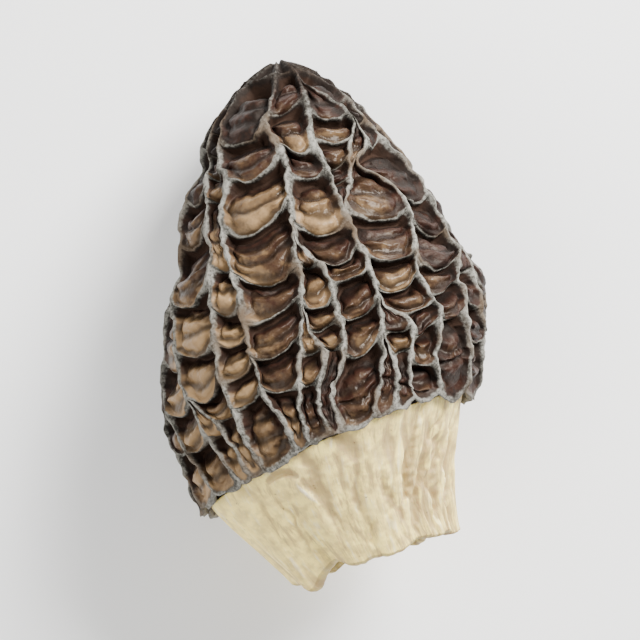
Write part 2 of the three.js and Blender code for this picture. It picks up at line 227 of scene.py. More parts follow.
def outline_lobes(angle, t):
    """A fuller lobe low on the right; two bays and a tuck above the margin on the left. Bells of
    the height, cut off by steep logistic steps, times the fourth power of the cosine."""

    def rise(height, middle, width):
        return height * bell(t, middle, width)

    right = rise(*RIGHT_LOBE) * (1 - step(t, RIGHT_LOBE_END, LOBE_EDGE))
    bays = sum(rise(*bay) * step(t, start, LOBE_EDGE) for bay, start in LEFT_BAYS)
    left = bays + rise(*LEFT_TUCK)
    return right * np.maximum(cosd(angle), 0) ** 4 - left * np.maximum(-cosd(angle), 0) ** 4


def skin_radius(angle, t):
    """A cone with a full belly, (1 - t^2.2)^0.62, narrowed at the margin by an exponential pinch,
    times one plus the sines of the lumps and the lobes of the outline."""
    cone = np.maximum(1 - np.maximum(t, 0) ** CONE_POWER, 0) ** TIP_POWER
    pinch = 1 - MARGIN_PINCH * np.exp(-t / MARGIN_REACH)
    swollen = 1 + outline_lobes(angle, t)
    for height, turns, phase, change in SKIN_LUMPS:
        swollen = swollen + height * sind(turns * angle + phase + change * t)
    return CAP_RADIUS * cone * pinch * swollen


def cap_point(angle, t, across, thick):
    """A place on an ellipse of the two radii, at its height on the axis. The margin's slant lifts
    the right and lowers the left, by the cosine times the square of what is left of the length."""
    y = CAP_LENGTH * t + MARGIN_SLANT * cosd(angle) * (1 - np.clip(t, 0, 1)) ** 2
    return np.stack(np.broadcast_arrays(across * cosd(angle), y, thick * sind(angle)), axis=-1)


def skin(angle, t):
    """The skin's ellipse at a share t of the length: as wide as its radius, and flattened."""
    radius = skin_radius(angle, t)
    return cap_point(angle, t, radius, radius * FLATNESS)


def skin_normal(angle, t):
    """The cross product of small differences along the skin and round it."""
    aside, ahead = 0.06, 0.001
    around = skin(angle + aside, t) - skin(angle - aside, t)
    along = skin(angle, t + ahead) - skin(angle, t - ahead)
    return unit(np.cross(along, around))


def tilted(points):
    """Turned about the x axis, so that the tip points down by TILT."""
    x, y, z = np.moveaxis(points, -1, 0)
    return np.stack([x, y * cosd(TILT) + z * sind(TILT), z * cosd(TILT) - y * sind(TILT)], axis=-1)


def lowest_of_skin():
    """The least height of the tilted skin, over a grid of its underside."""
    angle, j = np.meshgrid(np.arange(180, 360, 3), np.arange(101))
    return tilted(skin(angle, j / 100))[..., 2].min()


LOWEST = lowest_of_skin()


def laid(points):
    """Points about the y axis as they lie: tilted, moved into the frame, and what would be below
    the floor pressed flat on it."""
    lying = tilted(points) - (CENTRE_X, CENTRE_Y, LOWEST + SETTLE)
    lying[..., 2] = np.maximum(lying[..., 2], 0)
    return lying


# ---- long ridges ----


def ridges_below():
    """The ridges out of sight: every fourth reaches the tip. Of the three between two such, the
    middle one runs into either of them, and the others into a neighbour lower down."""
    made = []
    ends = {0: "z", RIDGES_BELOW + 1: "k"}
    for i in range(1, RIDGES_BELOW + 1):
        ridge = dict(name=f"u{i}", order=i)
        if i % 4:
            side = -1 if draw(i, 1) < 0.5 else 1
            medium = i % 4 == 2
            target = i + (2 * side if medium else side)
            reach = (0.55, 0.8) if medium else (0.2, 0.42)
            ridge["to"] = between(*reach, draw(i, 2))
            ridge["head"] = ends.get(target, f"u{target}")
        made.append(ridge)
    return made


RIDGES = RIDGES_ON_TOP + ridges_below()
for _ridge in RIDGES:
    _ridge["first"] = level_of(_ridge.get("start", 0))
    _ridge["last"] = level_of(_ridge["to"]) if "to" in _ridge else LEVELS
BY_NAME = {ridge["name"]: ridge for ridge in RIDGES}


def through(values, share):
    """The place at a share of the Catmull-Rom curve through values at equal steps."""
    v = np.asarray(values, float)
    padded = np.concatenate([[2 * v[0] - v[1]], v, [2 * v[-1] - v[-2]]])
    x = np.clip(share, 0, 1) * (len(v) - 1)
    i = np.minimum(np.floor(x).astype(int), len(v) - 2)
    f = x - i
    a, b, c, d = (padded[i + k] for k in range(4))
    return b + 0.5 * f * (c - a + f * (2 * a - 5 * b + 4 * c - d + f * (3 * (b - c) + d - a)))


def own_angle(ridge, level):
    """The angle that a ridge would have if it ran into no other: a curve through its angles, or
    its place among the ridges below, and a slow sine of the level."""
    wave_length = between(5, 9, draw(ridge["last"], 5))
    wave = sind(TURN * (draw(ridge["first"] + 7, ridge["last"] + 3) + level / wave_length))
    if "angles" in ridge:
        climbed = (level - ridge["first"]) / (ridge["last"] - ridge["first"])
        return through(ridge["angles"], climbed) + 0.5 * wave
    left = own_angle(BY_NAME["z"], level)
    right = own_angle(BY_NAME["k"], level) + TURN
    spread = (ridge["order"] + 0.5 * (draw(ridge["order"], 6) - 0.5)) / (RIDGES_BELOW + 1)
    return between(left, right, spread) + 2.2 * wave


def ridge_at(ridge, level):
    """The ridge that a ridge has become at a level, itself unless it has run into another."""
    if "foot" in ridge and level <= ridge["first"]:
        return ridge_at(BY_NAME[ridge["foot"]], level)
    if "head" in ridge and level >= ridge["last"]:
        return ridge_at(BY_NAME[ridge["head"]], level)
    return ridge


def ridge_angle(ridge, level):
    """A ridge's angle at a level, which closes in on the ridge that it runs into as a sine."""
    own = ridge_at(ridge, level)
    closing = min(CLOSING, (own["last"] - own["first"]) / 3)
    angle = own_angle(own, level)
    for end, steps in (("foot", level - own["first"]), ("head", own["last"] - level)):
        if end in own and steps < closing:
            aim = ridge_angle(BY_NAME[own[end]], level)
            angle = aim + (angle - aim) * math.sin(math.pi / 2 * steps / closing)
    return angle


@cache
def own_path(name):
    """A ridge's angles at STEPS places to a level: a smooth curve through those at whole levels."""
    whole = [ridge_angle(BY_NAME[name], level) for level in range(LEVELS + 1)]
    return through(whole, np.arange(LEVELS * STEPS + 1) / (LEVELS * STEPS))


def ridge_path(ridge):
    """The ridge's own path, and past its ends the path of the ridge that it has become."""
    names = [ridge_at(ridge, place / STEPS)["name"] for place in range(LEVELS * STEPS + 1)]
    return np.array([own_path(name)[place] for place, name in enumerate(names)])


# ---- columns of pits ----


class Column:
    """The pits between a ridge and the next one to its left."""

    def __init__(self, index):
        self.index = index
        self.right = RIDGES[index]
        self.left = RIDGES[(index + 1) % len(RIDGES)]
        self.wrap = TURN if index == len(RIDGES) - 1 else 0.0
        self.paths = (ridge_path(self.right), ridge_path(self.left) + self.wrap)
        self.stretches = self.open_stretches()

    def is_open(self, level):
        """Whether the two ridges are apart at a level."""
        return ridge_at(self.right, level)["name"] != ridge_at(self.left, level)["name"]

    def open_stretches(self):
        """Runs of open levels, each with the closed level at either end of it."""
        levels = [level for level in range(LEVELS + 1) if self.is_open(level)]
        starts = [level for level in levels if level - 1 not in levels]
        ends = [level for level in levels if level + 1 not in levels]
        return [(max(a - 1, 0), min(b + 1, LEVELS)) for a, b in zip(starts, ends)]

    def angles(self, side, level):
        """The angle of the right (0) or left (1) ridge."""
        places = np.arange(LEVELS * STEPS + 1)
        return np.interp(np.asarray(level) * STEPS, places, self.paths[side])

    def width(self, level):
        """The arc between the two ridges at the radius of its middle."""
        a, b = self.angles(0, level), self.angles(1, level)
        return (b - a) * np.radians(skin_radius((a + b) / 2, share_of(level))) * PIT_SQUEEZE


def column_ribs(column, start, end):
    """Cross ribs of an open stretch, from bottom to top: the levels of each one's right and left
    ends, how far its middle sags towards the margin, and how far it dips below the crests. They
    stand about a width of the column apart, within the least and the widest gap."""

    def end_rib(level):
        pointed = not column.is_open(level)
        sag = 0 if pointed else END_SAG * column.width(level)
        return dict(right=level, left=level, pointed=pointed, sag=sag, drop=0)

    ribs = [end_rib(start)]
    # The next one is 4 to 7 levels above the margin, or 3 above any other start.
    level = start + (4 + math.floor(4 * draw(column.index, 5)) if start == 0 else 3)
    n = 0
    while level <= end - RIB_GAP:
        below, width = ribs[-1], column.width(level)
        skew = math.floor(3 * draw(column.index, 20 + n)) - 1 if width > NARROW else 0
        right = min(end - RIB_GAP, max(below["right"] + RIB_GAP, level + skew))
        clear = right >= below["right"] + RIB_GAP and level >= below["left"] + RIB_GAP
        if width > RIBLESS and clear:
            drop = between(*DROPS, draw(column.index, 60 + n)) + (0.4 if width < NARROW else 0)
            sag = between(*SAGS, draw(column.index, 40 + n)) * width
            ribs.append(dict(right=right, left=level, pointed=False, sag=sag, drop=drop))
        pitch = width * between(*SPACINGS, draw(column.index, 80 + n)) / LEVEL_STEP
        level += min(WIDEST_GAP, max(RIB_GAP, math.floor(pitch + 0.5)))
        n += 1
    ribs.append(end_rib(end))
    return ribs


# ---- the cap as a surface ----

WARP = [Waves(11 + axis, 4.5) for axis in range(3)]  # slow wander of the whole net
RAGGED = [Waves(21 + axis, 1.1) for axis in range(3)]  # small wander of crests and walls
CREST = Waves(31, 1.7)  # ups and downs of the crests
SWAY = Waves(32, 9.0)  # the side to which ridges lean
LUMP = Waves(33, 3.0)  # swellings of the pit floors
WRINKLE = Waves(34, 0.9)  # quicker unevenness of floors and stem
CUSHION = 1.8  # length of a cushion on a pit's floor
FLOOR_TOP = 0.45  # depth below the skin at which a floor levels off
SHALLOWEST = 0.9  # depth of the smallest pits
DEPTH_START, DEPTH_RATE = 0.6, 0.62  # depth of a pit, and its growth with the pit's lesser size
WALL_SHARE, WALL_HALF = 0.42, 0.4  # most of a span for a wall, and the distance for half of that
SWELLS = (0.8, 1.15)  # least and most that a floor swells by, as a multiple of its setting
LIGHT_LEFT, LIGHT_RIGHT = (165, 142), (36, 52)  # angles that bound light floors, low and high
FULL_BREADTH = 1.8  # a pit reaches its full depth where it is broader than this

# What the cap's points carry for its material: the share of grey down, the share of dark crevice
# colour and painted shade, how light a floor is by its own tone and by painted shade and light, the
# share of lining, and the number of cushions.
CAP_MASKS = ("crest", "crevice_dark_and_shade", "tone", "inside", "cushions")
# And the stem's: the shares of lining and of painted shade, the share of the way from the joint to
# the cut, the height of the flap, which also places a painted highlight on its lip, and the cosine
# and sine of the angle.
STEM_MASKS = ("inside", "fold_shade", "along", "flap", "east", "up")

# From a crest's middle to the foot of its wall: distance on a long ridge, on a rib and on the
# margin, share of the way down, how much corners round off, the crest mask, and the mask of dark
# crevice colour and painted shade.
WALL_RINGS = [
    (0.00, 0.00, 0.00, 0.00, 0.00, 1.00, 0.0),
    (0.12, 0.035, 0.22, 0.03, 0.03, 0.90, 0.0),
    (0.23, 0.08, 0.42, 0.14, 0.08, 0.55, 0.2),
    (0.29, 0.13, 0.60, 0.40, 0.12, 0.15, 0.8),
    (0.37, 0.21, 0.85, 0.78, 0.17, 0.00, 1.0),
    (0.52, 0.38, 1.20, 1.00, 0.22, 0.00, 1.0),
]
# The floor: share of the foot's size, and the mask of crevice colour and painted shade.
FLOOR_RINGS = [(0.93, 0.7), (0.82, 0.3), (0.64, 0.05), (0.42, 0.0), (0.2, 0.0), (0.0, 0.0)]
# How light each ring of a pit is painted, from its crest to its middle: painted shade on the walls
# and at their foot, painted light in the middle of the floor.
RING_PAINTED_LIGHT = np.array([0.8, 0.75, 0.6, 0.5, 0.46, 0.46, 0.52, 0.7, 0.94, 1.1, 1.18, 1.2])
# The tip's rings, as shares of the way from the end of the net to the point.
TIP_RINGS = np.array([0.0, 0.03, 0.07, 0.13, 0.22, 0.34, 0.48, 0.64, 0.8, 0.92])
RIDGE_SLOPE = 0.55  # breadth of a ridge's slope on the tip
TIP_SHORT = 0.45  # how far the point stays below the full length
TIP_FALL = (1.3, 0.3)  # depth between the tip's ridges, at the end of the net and at the point
SKIRT, UNDERSIDE = 0.7, 1.3  # depths below the skin of the two rings under the margin's crest
UNDERSIDE_AT, LINING_AT = 0.002, 0.004  # shares of the length where underside and lining begin


def net_points(angle, t, height, settings, calm=1.0):
    """Places on the skin, moved along its normal by height. Deep ones lie nearer the tip, so that
    ribs overhang, and to one side where ridges lean. Slow noise and quick noise, the quick one by
    the share calm, move everything along the skin. All this fades over the tip's last sixth."""
    base = skin(angle, t)
    normal = skin_normal(angle, t)
    up = np.array([0.0, 1.0, 0.0]) - normal * normal[..., 1:2]
    up /= np.maximum(np.linalg.norm(up, axis=-1, keepdims=True), 1e-6)
    side = np.cross(normal, up)
    deep = ramp(-height, 0, PIT_DEPTH)[..., None]
    fade = ramp(t, 1, -1 / 6)[..., None]
    points = base + normal * height[..., None]
    points += fade * deep * (settings.overhang * up + settings.lean * SWAY(base)[..., None] * side)
    for strength, field in ((settings.wander, WARP), (settings.ragged * calm, RAGGED)):
        shift = np.stack([wave(base) for wave in field], axis=-1)
        shift -= normal * np.sum(shift * normal, axis=-1, keepdims=True)
        points += np.asarray(strength)[..., None] * fade * shift
    return points


def crest_height(angle, t, drop, settings):
    """Crests lie a little below the skin, by a noise, and by a rib's own dip."""
    return drop - settings.crest_dip * (0.5 + 0.5 * CREST(skin(angle, t)))


def on_rib(column, rib, p):
    """Angle, t and the crest's drop at the share p of a rib, which sags and dips as a parabola."""
    bow = 4 * p * (1 - p)
    angle = between(column.angles(0, rib["right"]), column.angles(1, rib["left"]), p)
    t = between(share_of(rib["right"]), share_of(rib["left"]), p) - rib["sag"] * bow / CAP_LENGTH
    return angle, t, -RIB_DIP * rib["drop"] * bow


def rib_shares(column, rib):
    """Places along a rib at an even pitch, both ends left out."""
    width = column.width((rib["right"] + rib["left"]) / 2)
    count = max(2, int(round(float(width) / RIB_PITCH)))
    return np.arange(1, count) / count


def pit_border(column, low, high):
    """Once round a pit: shares across and up, then angle, t, the drop of the crest, and how far
    along a rib the place is, 0 at the long ridges and 1 in a rib's middle."""

    def along_ridge(side, start, end):
        level = np.arange(start * STEPS, end * STEPS + 1) / STEPS
        q = (level - start) / (end - start)
        return [np.full_like(q, side), q, column.angles(side, level), share_of(level), 0 * q, 0 * q]

    def along_rib(rib, q):
        p = np.array([]) if rib["pointed"] else rib_shares(column, rib)
        middle = 4 * p * (1 - p) if rib["drop"] else 0 * p
        return [p, np.full_like(p, q), *on_rib(column, rib, p), middle]

    right = along_ridge(0, low["right"], high["right"])
    left = along_ridge(1, low["left"], high["left"])
    # At a pointed end both ridges share a place, which counts once.
    shared = slice(int(low["pointed"]), len(left[0]) - int(high["pointed"]))
    left = [row[shared] for row in left]
    above, below = along_rib(high, 1.0), along_rib(low, 0.0)
    parts = zip(right, above, left, below)
    return [np.concatenate([a, b, c[::-1], d[::-1]]) for a, b, c, d in parts]


def pit_patch(column, low, high, p, q):
    """Coons patch: the place at shares p across and q up, blended from the pit's four borders."""
    ends = [(0, low["right"]), (1, low["left"]), (0, high["right"]), (1, high["left"])]
    a, b, c, d = (column.angles(side, level) for side, level in ends)
    e, f, g, h = (share_of(level) for _, level in ends)
    below, above = on_rib(column, low, p), on_rib(column, high, p)
    right = between(low["right"], high["right"], q)
    left = between(low["left"], high["left"], q)
    sides = between(column.angles(0, right), column.angles(1, left), p)
    angle = between(below[0], above[0], q) + sides - between(between(a, b, p), between(c, d, p), q)
    t = between(below[1], above[1], q) + between(share_of(right), share_of(left), p)
    return angle, t - between(between(e, f, p), between(g, h, p), q)


def tan_tone(angle, t, luck):
    """How light a pit's floor is, from 0 to 1: light on top, reddish dark low on either side and
    at the margin, nearly black towards the tip by painted shade, and different from pit to pit.
    Logistic steps of the angle bound the light part, and ramps of t change it along the cap."""
    turned = np.mod(angle + 90, TURN) - 90
    left = between(*LIGHT_LEFT, ramp(t, 0.55, 0.2))
    right = between(*LIGHT_RIGHT, ramp(t, 0.5, 0.2))
    on_top = step(turned, right, 4) * step(turned, left, -4)
    low = ramp(t, 0.55, -0.15)
    base = low * step(turned, 112, 6)
    russet = 0.16 * low * bell(turned, 18, 22) * (1 - on_top)
    # Towards the tip the light floors are painted darker, as shade.
    light = (0.15 + 0.62 * luck + 0.6 * base) * (1 - 0.85 * ramp(t, 0.7, 0.18))
    return np.clip(0.1 + russet + on_top * light, 0, 1.15)


def downy(t):
    """The share of grey down on the crests, less towards the tip, which is painted dark as shade.
    """
    return 1 - 0.7 * ramp(t, 0.76, 0.14)


def pit_surface(column, low, high, settings):
    """One pit over (ring, place): wall rings set in from the border, then floor rings that shrink
    to the middle, and the middle as a last ring. The floor is a scoop, shallow and gently rimmed
    towards the margin, deep and undercut towards the tip, by the square of the height in the pit.
    It swells towards its middle, under cross cushions as high as a squared sine of that height."""
    p, q, angle, t, drop, middle = pit_border(column, low, high)
    ends = [rib["right"] + rib["left"] for rib in (low, high)]
    tall = (ends[1] - ends[0]) / 2 * LEVEL_STEP

    def breadth(row):
        return np.maximum(column.width(between(*ends, row) / 2), 0.05)

    lesser = min(float(breadth(0.5)), tall)
    depth = min(PIT_DEPTH, max(SHALLOWEST, DEPTH_START + DEPTH_RATE * lesser))
    luck = draw(column.index + 31, low["right"] + 17)
    margin = low["right"] == 0
    # Painted shade in the crevices is strongest under the rib above and weaker towards the lower
    # end.
    shaded = 1 - 0.85 * (1 - q**2)

    def share_in(distance, span):
        """A distance as a share of a span, held back where the span is small."""
        held = WALL_SHARE * distance / (distance + WALL_HALF)
        return np.minimum(distance / span, held) if distance else 0.0

    def floor_at(row):
        narrow = np.clip(breadth(row) / FULL_BREADTH, 0.35, 1)
        return -depth * narrow * (1 - settings.scoop * (1 - row**2))

    def cushions_at(row, at):
        """The number of cushions from the pit's lower end, a little uneven."""
        return row * tall / CUSHION + 0.14 * LUMP(skin(*at)) + 3 * luck

    calm = 1 - 0.7 * middle
    bare = 1 - settings.bare_ribs * middle
    rings, masks = [], []
    for ridge, rib, rim, fall, corner, crest, crevice_dark_and_shade in WALL_RINGS:
        row = between(share_in(rim if margin else rib, tall), 1 - share_in(rib, tall), q)
        side = share_in(ridge, breadth(row))
        across = between(side, 1 - side, p)
        pr = 0.5 + (across - 0.5) * (1 - corner * np.abs(2 * q - 1) ** 3)
        qr = 0.5 + (row - 0.5) * (1 - corner * np.abs(2 * p - 1) ** 3)
        at = (angle, t) if ridge == 0 else pit_patch(column, low, high, pr, qr)
        height = between(crest_height(*at, drop, settings), floor_at(row), fall)
        rings.append((*at, height, calm, row))
        masks.append((crest * bare, crevice_dark_and_shade * shaded, cushions_at(row, at)))
    swell = depth * settings.swell * between(*SWELLS, draw(column.index + 5, low["left"] + 3))
    for size, crevice_dark_and_shade in FLOOR_RINGS:
        row = 0.5 + (qr - 0.5) * size
        at = pit_patch(column, low, high, 0.5 + (pr - 0.5) * size, row)
        base = skin(*at)
        inner = 1 - size**3
        cushion = sind(TURN / 2 * cushions_at(row, at)) ** 2 - 0.5
        lumps = settings.lumps * (LUMP(base) + 0.08 * WRINKLE(base)) + settings.pleats * cushion
        height = floor_at(row) + swell * (1 - size**2.3) + inner * lumps
        height = -np.hypot(np.minimum(height, 0), FLOOR_TOP * inner)
        rings.append((*at, height, between(calm.mean(), calm, size), row))
        masks.append((0 * p, crevice_dark_and_shade * shaded, cushions_at(row, at)))
    angle, t, height, calm, rows = (np.stack(part) for part in zip(*rings))
    crest, crevice_dark_and_shade, cushions = (np.stack(part) for part in zip(*masks))
    points = laid(net_points(angle, t, height, settings, calm))
    # Painted shade and light: walls darker and floor middles lighter, ring by ring, most towards
    # the rib above, and every row darker the nearer it lies to that rib.
    shade = (1 - RING_PAINTED_LIGHT[:, None]) * between(0.25, 1, q)
    tone = tan_tone(angle, t, luck) * (1.12 - 0.72 * rows**1.4 - shade)
    return points, np.stack([crest * downy(t), crevice_dark_and_shade, tone, 0 * angle, cushions], axis=-1)


def net_end(columns, level):
    """The crest where the net ends, at the margin or the tip, once round: angle, t, the share
    between the two ridges and their distance."""
    parts = []
    for column in columns:
        if not column.is_open(level):
            continue
        stretch = next(s for s in column.stretches if level in s)
        rib = column_ribs(column, *stretch)[0 if level == 0 else -1]
        p = np.concatenate([[0.0], rib_shares(column, rib)])
        angle, t, _ = on_rib(column, rib, p)
        parts.append([angle, t, p, np.full_like(p, column.width(level))])
    return [np.concatenate(row) for row in zip(*parts)]


def tip_surface(columns, settings):
    """The tip over (ring, place round): the net's last crest drawn in to a point. The ridges run
    on to it, and between them the skin falls away by a smooth step of the distance to a ridge."""
    angle, t, p, width = net_end(columns, LEVELS)
    share = TIP_RINGS[:, None]
    rings = between(t, 1 - 1e-4, share)
    shrunk = skin_radius(angle, rings) / skin_radius(angle, t)
    off_ridge = ramp(np.minimum(p, 1 - p) * width * shrunk, 0, RIDGE_SLOPE)
    fall = off_ridge**2 * (3 - 2 * off_ridge) * np.minimum(1, share * 9)
    height = crest_height(angle, t, 0.0, settings) - fall * between(*TIP_FALL, share)
    points = net_points(angle + 0 * share, rings, height, settings)
    end = np.broadcast_to([0.0, CAP_LENGTH - TIP_SHORT, 0.0], points[:1].shape)
    points = laid(np.concatenate([points, end]))
    masks = np.zeros((*points.shape[:2], len(CAP_MASKS)))
    masks[:-1, :, 0] = (1 - fall) * downy(rings)
    # Painted shade, as the crevice mask, between the tip's ridges and at the point.
    masks[:-1, :, 1] = 0.5 * fall
    masks[-1, :, :2] = (0.4, 0.3)
    return points[:, ::-1], masks[:, ::-1]


def hollow_surface(columns, settings):
    """The underside of the margin and the lining of the hollow, over (ring, place round). The
    lining keeps its distance from the skin, and closes with the square root of 1 - rise^5."""
    angle, t, *_ = net_end(columns, 0)
    crest = net_points(angle, t, crest_height(angle, t, 0.0, settings), settings)
    skirt = net_points(angle, t, np.full_like(t, -SKIRT), settings)
    under = net_points(angle, np.full_like(t, UNDERSIDE_AT), np.full_like(t, -UNDERSIDE), settings)
    turn = np.pi / 2 * np.arange(HOLLOW_ROWS) / HOLLOW_ROWS
    rise = between(LINING_AT, HOLLOW_TOP, np.sin(turn))[:, None]
    closing = np.sqrt(np.maximum(1 - (rise / HOLLOW_TOP) ** 5, 0))
    flesh = PIT_DEPTH + WALL
    radius = skin_radius(angle, rise)
    across, thick = ((size - flesh) * closing for size in (radius, radius * FLATNESS))
    lining = cap_point(angle, rise, across, thick)
    end = np.broadcast_to(cap_point(0.0, HOLLOW_TOP, 0.0, 0.0), lining[:1].shape)
    points = laid(np.concatenate([crest[None], skirt[None], under[None], lining, end]))
    masks = np.zeros((*points.shape[:2], len(CAP_MASKS)))
    masks[:2, :, 0] = 1
    # Painted shade, as the crevice mask, on the skirt, the underside and the lining's first row.
    masks[1:4, :, 1] = 1
    masks[4:, :, 3] = 1
    return points, masks


# ---- the stem as a surface ----


def stem_fold(angle, s):
    """Lengthwise folds: the size of a sine of the angle, stronger on the right, that grow over the
    first quarter of the length, and a broad wave that turns round the stem along it."""
    drift = 14 * sind(2 * angle + 80 * s)
    wave = np.abs(sind(STEM_FOLDS * (angle + drift) / 2))
    strength = (FOLD_HEIGHT + FOLD_MORE * cosd(angle)) * np.minimum(1, 4 * s)
    return strength * (wave - 0.5) + 0.25 * sind(3 * angle + 200 * s) * s


CORDS = (31, 47, 66, 89)  # fine cords round the stem, from coarse to fine


def fibres(angle, s, wander):
    """Height of the fine cords: sines round the stem whose phases drift along it."""
    total = 0 * angle
    for n, turns in enumerate(CORDS):
        drift = 25 * sind(turns * 7 + 160 * s + 3 * angle) * s + (70 + 25 * n) * wander
        total = total + sind(turns * angle + drift + 77 * n) / (n + 1.6)
    return total


# Lines on top of the stem, as places across and along the axis: the hood and the lip of a small
# torn flap, and the soft valleys between its folds with their half width, depth and line. The
# flap's heights are multiples of its setting.
HOOD = [(-7.3, -3.3), (-6.4, -2.85), (-5.5, -2.7), (-4.7, -2.85), (-4.0, -3.4)]
LIP = [(-4.2, -3.3), (-3.8, -4.0), (-3.0, -4.9), (-2.3, -5.9)]
HOOD_DEPTH, HOOD_MIDDLE, HOOD_WIDTH = 2.4, -0.1, 0.26
LIP_HEIGHT, LIP_WIDTH = 2.6, 0.36
VALLEYS = [
    (1.3, 0.6, [(8.3, 2.2), (7.0, -0.4), (5.2, -1.6), (4.0, -3.8)]),
    (0.9, 0.7, [(0.0, 1.6), (1.1, -0.4), (1.6, -2.6)]),
    (0.8, 0.6, [(-4.3, 1.6), (-3.1, -1.5), (-2.4, -4.0), (-1.1, -7.3), (-0.6, -9.4)]),
    (0.5, 0.9, [(9.2, 2.8), (7.6, -1.6), (6.5, -4.4), (5.6, -8.4)]),
    (0.45, 0.9, [(10.6, 1.6), (9.5, -4.1), (8.7, -9.2)]),
    (0.4, 0.5, [(4.6, -1.6), (4.3, -4.6), (4.3, -6.3), (3.6, -9.8)]),
    (0.4, 0.7, [(8.7, -2.0), (8.0, -4.8), (6.7, -8.6)]),
    (0.45, 0.45, [(1.3, -2.6), (1.7, -6.6), (1.8, -10.4)]),
    (0.4, 0.6, [(12.2, 1.8), (10.9, -3.4), (10.3, -8.6)]),
    (0.6, 0.4, [(-9.9, -2.4), (-8.0, -5.6), (-6.3, -9.6)]),
    (0.35, 0.35, [(-6.4, -4.6), (-4.9, -7.4), (-3.9, -10.6)]),
    (0.35, 0.6, [(2.7, -7.9), (2.3, -8.9), (2.5, -10.4)]),
    (0.7, 0.5, [(-8.9, -0.6), (-7.6, -1.3), (-5.9, -1.3), (-4.6, -0.6)]),
]


def off_line(x, y, line):
    """The signed distance across the nearest stretch of a smooth line, and the share of the line
    at which that place lies."""
    share = np.linspace(0, 1, 4 * len(line) - 3)
    places = np.stack([through(values, share) for values in zip(*line)], axis=-1)
    across, at = np.full_like(x, 99.0), np.zeros_like(x)
    for k, ((ax, ay), (bx, by)) in enumerate(zip(places, places[1:])):
        length = math.hypot(bx - ax, by - ay)
        along = ((x - ax) * (bx - ax) + (y - ay) * (by - ay)) / length
        off = ((x - ax) * (by - ay) - (y - ay) * (bx - ax)) / length
        gap = np.hypot(off, np.maximum(np.maximum(-along, along - length), 0))
        nearer = gap < np.abs(across)
        across = np.where(nearer, np.where(off < 0, -gap, gap), across)
        at = np.where(nearer, (k + np.clip(along / length, 0, 1)) / (len(places) - 1), at)
    return across, at


def tapered(at):
    """1 in the middle of a line and 0 at both ends: a parabola of the share, to the power 0.8."""
    return (4 * at * (1 - at)) ** 0.8


def torn_flap(x, y):
    """Height of the torn flap on the stem, as a multiple of its setting: a groove of bell-shaped
    section below its hood, and a raised lip with a groove beside it, the slope of a bell."""
    across, at = off_line(x, y, HOOD)
    hood = -HOOD_DEPTH * bell(across, HOOD_MIDDLE, HOOD_WIDTH) * tapered(at)
    across, at = off_line(x, y, LIP)
    lip = LIP_HEIGHT * across / LIP_WIDTH * bell(across, 0, LIP_WIDTH) * tapered(at)
    return hood + lip


def soft_valleys(x, y):
    """Depth of the valleys: bells across their lines, shallower and narrower to both ends."""
    depth = np.zeros_like(x)
    for width, deep, line in VALLEYS:
        across, at = off_line(x, y, line)
        taper = tapered(at)
        depth = np.maximum(depth, deep * taper * bell(across, 0, width * between(0.6, 1, taper)))
    return depth


# Waves of the cut edge, and its fine jags as a share of their setting: height, turns and phase.
CUT_WAVES = [(0.25, 5, 20), (0.2, 11, 0)]
JAGS = [(0.3, 23, 0), (0.25, 41, 60), (0.2, 67, 10)]
SHRED, NOTCH = (1.1, 146, 11), (0.6, 116, 7)  # height, angle and width
CUT_ROUNDING = 0.12  # how much the middle of the cut's thickness stands out


def cut_at(angle):
    """How far along the axis the stem was cut: slanted, shorter underneath, a little wavy, with a
    long shred on the left and a notch beside it, both bells of the angle."""
    slant = CUT_SLANT * STEM_END * cosd(angle) + CUT_UNDER * (1 - sind(angle)) / 2
    shred, notch = (height * bell(angle, middle, width) for height, middle, width in (SHRED, NOTCH))
    return STEM_LENGTH - slant + waves_round(angle, CUT_WAVES) + shred - notch


